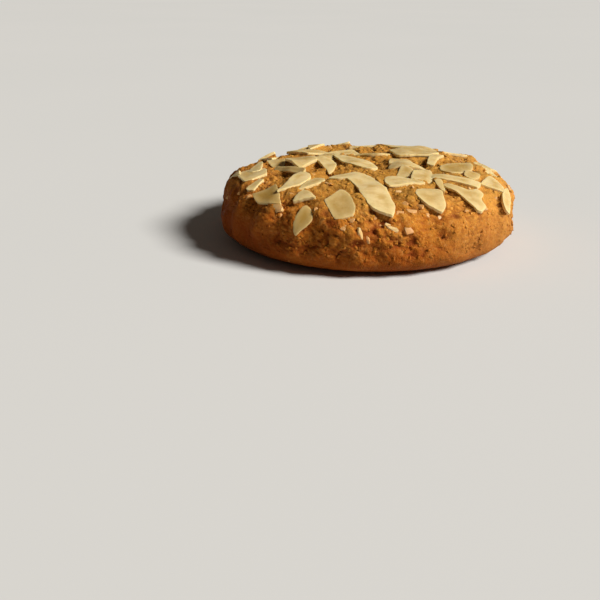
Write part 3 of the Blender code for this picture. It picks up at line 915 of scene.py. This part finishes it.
class Finish:
    """A material with a Principled shader, and the one method that adds any other node."""

    def __init__(self, name, **constants):
        self.material = bpy.data.materials.new(name)
        self.material.use_nodes = True
        self.tree = self.material.node_tree
        self.shader = self.tree.nodes["Principled BSDF"]
        for socket, value in constants.items():
            self.shader.inputs[socket.replace("_", " ")].default_value = value

    def node(self, kind, output, settings=None, **inputs):
        """A node of this kind with its settings and its sockets' values, as the Socket of one output."""
        node = self.tree.nodes.new(kind)
        for setting, value in (settings or {}).items():
            setattr(node, setting, value)
        for socket, value in inputs.items():
            feed(self.tree, node.inputs[socket.replace("_", " ")], value)
        return Socket(self.tree, node.outputs[output])

    def place(self):
        return self.node("ShaderNodeTexCoord", "Object")

    def coordinate(self, axis):
        return self.node("ShaderNodeSeparateXYZ", axis, Vector=self.place())

    def attribute(self, name):
        return self.node("ShaderNodeAttribute", "Fac", {"attribute_name": name})

    def noise(self, pattern):
        """Noise from 0 to 1 in this pattern."""
        shifted = self.node("ShaderNodeVectorMath", "Vector", {"operation": "ADD"})
        feed(self.tree, shifted.output.node.inputs[0], self.place())
        shifted.output.node.inputs[1].default_value = (pattern.draw, 2 * pattern.draw, 3 * pattern.draw)
        return self.node(
            "ShaderNodeTexNoise", 0, Vector=shifted, Scale=1 / pattern.size, Detail=pattern.detail,
            Roughness=PATTERN_ROUGHNESS,
        )

    def mix(self, share, first, second):
        """A colour between two others."""
        node = self.tree.nodes.new("ShaderNodeMix")
        node.data_type = "RGBA"
        colours = [slot for slot in node.inputs if slot.type == "RGBA"]
        feed(self.tree, node.inputs["Factor"], share)
        feed(self.tree, colours[0], first)
        feed(self.tree, colours[1], second)
        result = [slot for slot in node.outputs if slot.type == "RGBA"][0]
        return Socket(self.tree, result)

    def tinted(self, colour, tints, patterns):
        """The colour with each tint laid over it in turn."""
        for tint in tints:
            share = ((patterns[tint.pattern] - tint.start) * tint.gain).held() * tint.share
            colour = self.mix(share, colour, srgb(*tint.colour))
        return colour

    def drive(self, socket, value):
        feed(self.tree, self.shader.inputs[socket], value)

    def bump(self, height, distance, strength):
        """Fine relief in metres of distance, for what is too fine for the mesh."""
        normal = self.node("ShaderNodeBump", "Normal", Height=height, Distance=distance, Strength=strength)
        self.drive("Normal", normal)


def linear(value):
    """One channel in the shader's linear light, from its 0 to 255 display value."""
    shown = value / 255
    return ((shown + 0.055) / 1.055) ** 2.4 if shown > 0.04045 else shown / 12.92


def srgb(red, green, blue):
    """A colour in the shader's linear light, from its 0 to 255 display values."""
    return linear(red), linear(green), linear(blue), 1.0


def crust_finish():
    """Crust brown at the rim and in patches; painted golden light on lumps, painted reddish shade in pits."""
    crust = Finish(
        "crust", Specular_IOR_Level=0.07, Subsurface_Weight=0.1, Subsurface_Radius=(1.0, 0.35, 0.1),
        Subsurface_Scale=1.0 * MM,
    )
    patterns = {name: crust.noise(pattern) for name, pattern in CRUST_PATTERNS.items()}
    for name in ("raised", "browned_and_flank_shade", "pit"):
        patterns[name] = crust.attribute(name)
    along, height = crust.coordinate("X"), crust.coordinate("Z")
    upright = (height * SIDES_FROM_FOOT).held()
    patterns["height"] = height
    # Painted light on the right side and painted shade on the left, fading out towards the foot.
    patterns["painted light on right"] = ((along - RIGHT_SIDE[0]) * RIGHT_SIDE[1]).held() * upright
    patterns["painted shade on left"] = ((along - LEFT_SIDE[0]) * LEFT_SIDE[1]).held() * upright
    colour = crust.tinted(srgb(*CRUST_GOLD), CRUST_TINTS, patterns)
    crust.drive("Base Color", colour)
    crust.drive("Roughness", CRUST_ROUGHNESS + CRUST_ROUGHNESS_PLAY * patterns["mottle"])
    crust.bump(patterns["grain"] + CRUST_DUST * patterns["dust"], CRUST_BUMP, strength=0.9)
    return crust.material


def almond_finish(name, almond_colours):
    """Cut almond: cream with faint streaks, another colour at its edge, each piece toasted differently."""
    light, shaded, toasted, rim = [srgb(*colour) for colour in almond_colours]
    almond = Finish(
        name, Specular_IOR_Level=0.4, Subsurface_Weight=0.25, Subsurface_Radius=(1.0, 0.7, 0.35),
        Subsurface_Scale=1.5 * MM,
    )
    streaks, grain = almond.noise(ALMOND_STREAKS), almond.noise(ALMOND_GRAIN)
    tone = almond.attribute("tone")
    edge = almond.attribute("edge")
    colour = almond.mix(((streaks - STREAKS[0]) * STREAKS[1]).held(), light, shaded)
    toasting = tone * TOASTING + (grain - 0.5) * TOASTED_GRAIN + (streaks - 0.5) * TOASTED_STREAKS
    colour = almond.mix(toasting.held(), colour, toasted)
    colour = almond.mix(edge * (EDGE_PALENESS - EDGE_TOASTING * tone), colour, rim)
    almond.drive("Base Color", colour)
    almond.drive("Roughness", ALMOND_ROUGHNESS + ALMOND_ROUGHNESS_PLAY * grain)
    relief = grain * (1 - ALMOND_BUMP_STREAKS) + streaks * ALMOND_BUMP_STREAKS
    almond.bump(relief, ALMOND_BUMP, strength=0.6)
    return almond.material


def dress(piece, material):
    """Gives a piece its material and its place in the frame."""
    piece.data.materials.clear()
    piece.data.materials.append(material)
    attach(piece, "root")


def studio():
    """A plain pale floor, a broad soft lamp high on the right, and a dim pale surround."""
    bm = bmesh.new()
    bmesh.ops.create_grid(bm, x_segments=1, y_segments=1, size=FLOOR_SIZE / 2)
    bmesh.ops.translate(bm, vec=(0.0, 0.0, -FLOOR_GAP), verts=bm.verts)
    floor = mesh_object("floor", bm)
    paint = Finish("floor", Roughness=0.9)
    shade = paint.noise(FLOOR_PATTERN)
    paint.drive("Base Color", paint.mix(shade, srgb(*FLOOR_PALE), srgb(*FLOOR_PALER)))
    floor.data.materials.append(paint.material)
    lamp = bpy.data.lights.new("key", "SUN")
    lamp.energy, lamp.angle, lamp.color = KEY_STRENGTH, KEY_SPREAD, KEY_COLOUR
    key = bpy.data.objects.new("key", lamp)
    bpy.context.scene.collection.objects.link(key)
    level = Vector((math.cos(KEY_BEARING), math.sin(KEY_BEARING), 0.0)) * math.cos(KEY_HEIGHT)
    away = level + Vector((0.0, 0.0, math.sin(KEY_HEIGHT)))
    key.location = away
    key.rotation_euler = away.to_track_quat("Z", "Y").to_euler()
    world = bpy.data.worlds.new("surround")
    world.use_nodes = True
    tree = world.node_tree
    glow = tree.nodes["Background"]
    glow.inputs["Color"].default_value = WORLD_COLOUR
    glow.inputs["Strength"].default_value = WORLD_STRENGTH
    backdrop = tree.nodes.new("ShaderNodeBackground")
    backdrop.inputs["Color"].default_value = BACKDROP
    seen = tree.nodes.new("ShaderNodeLightPath")
    either = tree.nodes.new("ShaderNodeMixShader")
    tree.links.new(seen.outputs["Is Camera Ray"], either.inputs["Fac"])
    tree.links.new(glow.outputs["Background"], either.inputs[1])
    tree.links.new(backdrop.outputs["Background"], either.inputs[2])
    tree.links.new(either.outputs["Shader"], tree.nodes["World Output"].inputs["Surface"])
    bpy.context.scene.world = world
    bpy.context.scene.view_settings.view_transform = "Standard"


def photo_camera():
    camera = bpy.data.cameras.new("camera")
    camera.sensor_width, camera.lens = CAMERA_SENSOR, CAMERA_LENS
    camera.clip_start = CAMERA_CLIP
    viewer = bpy.data.objects.new("camera", camera)
    bpy.context.scene.collection.objects.link(viewer)
    viewer.location = CAMERA_PLACE
    viewer.rotation_euler = (math.pi / 2 - CAMERA_PITCH, 0.0, 0.0)
    bpy.context.scene.camera = viewer


def nibs_wanted(point):
    """Nibs lie all over the crown and thin out down the side."""
    return clamp((point.z - NIBS_ABOVE) / NIBS_FADE)


photo_camera()
studio()
dough, outwards = dough_piece()
slices, pile = almond_slices(dough)
bed_slices(dough, outwards, slices)
nibs = scattered("almond_nibs", NIBS, MAIN_NIBS, chopped_nib, dough, pile, nibs_wanted)
crumbs = scattered("crumbs", CRUMBS, (), crumb_lump, dough, pile, crumbliness)
pile.free()

crust = crust_finish()
dress(dough, crust)
dress(crumbs, crust)
kernel = almond_finish("almond", KERNEL)
chopped = almond_finish("nib", CHOPPED)
dress(slices, kernel)
dress(nibs, chopped)
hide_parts("cookie")
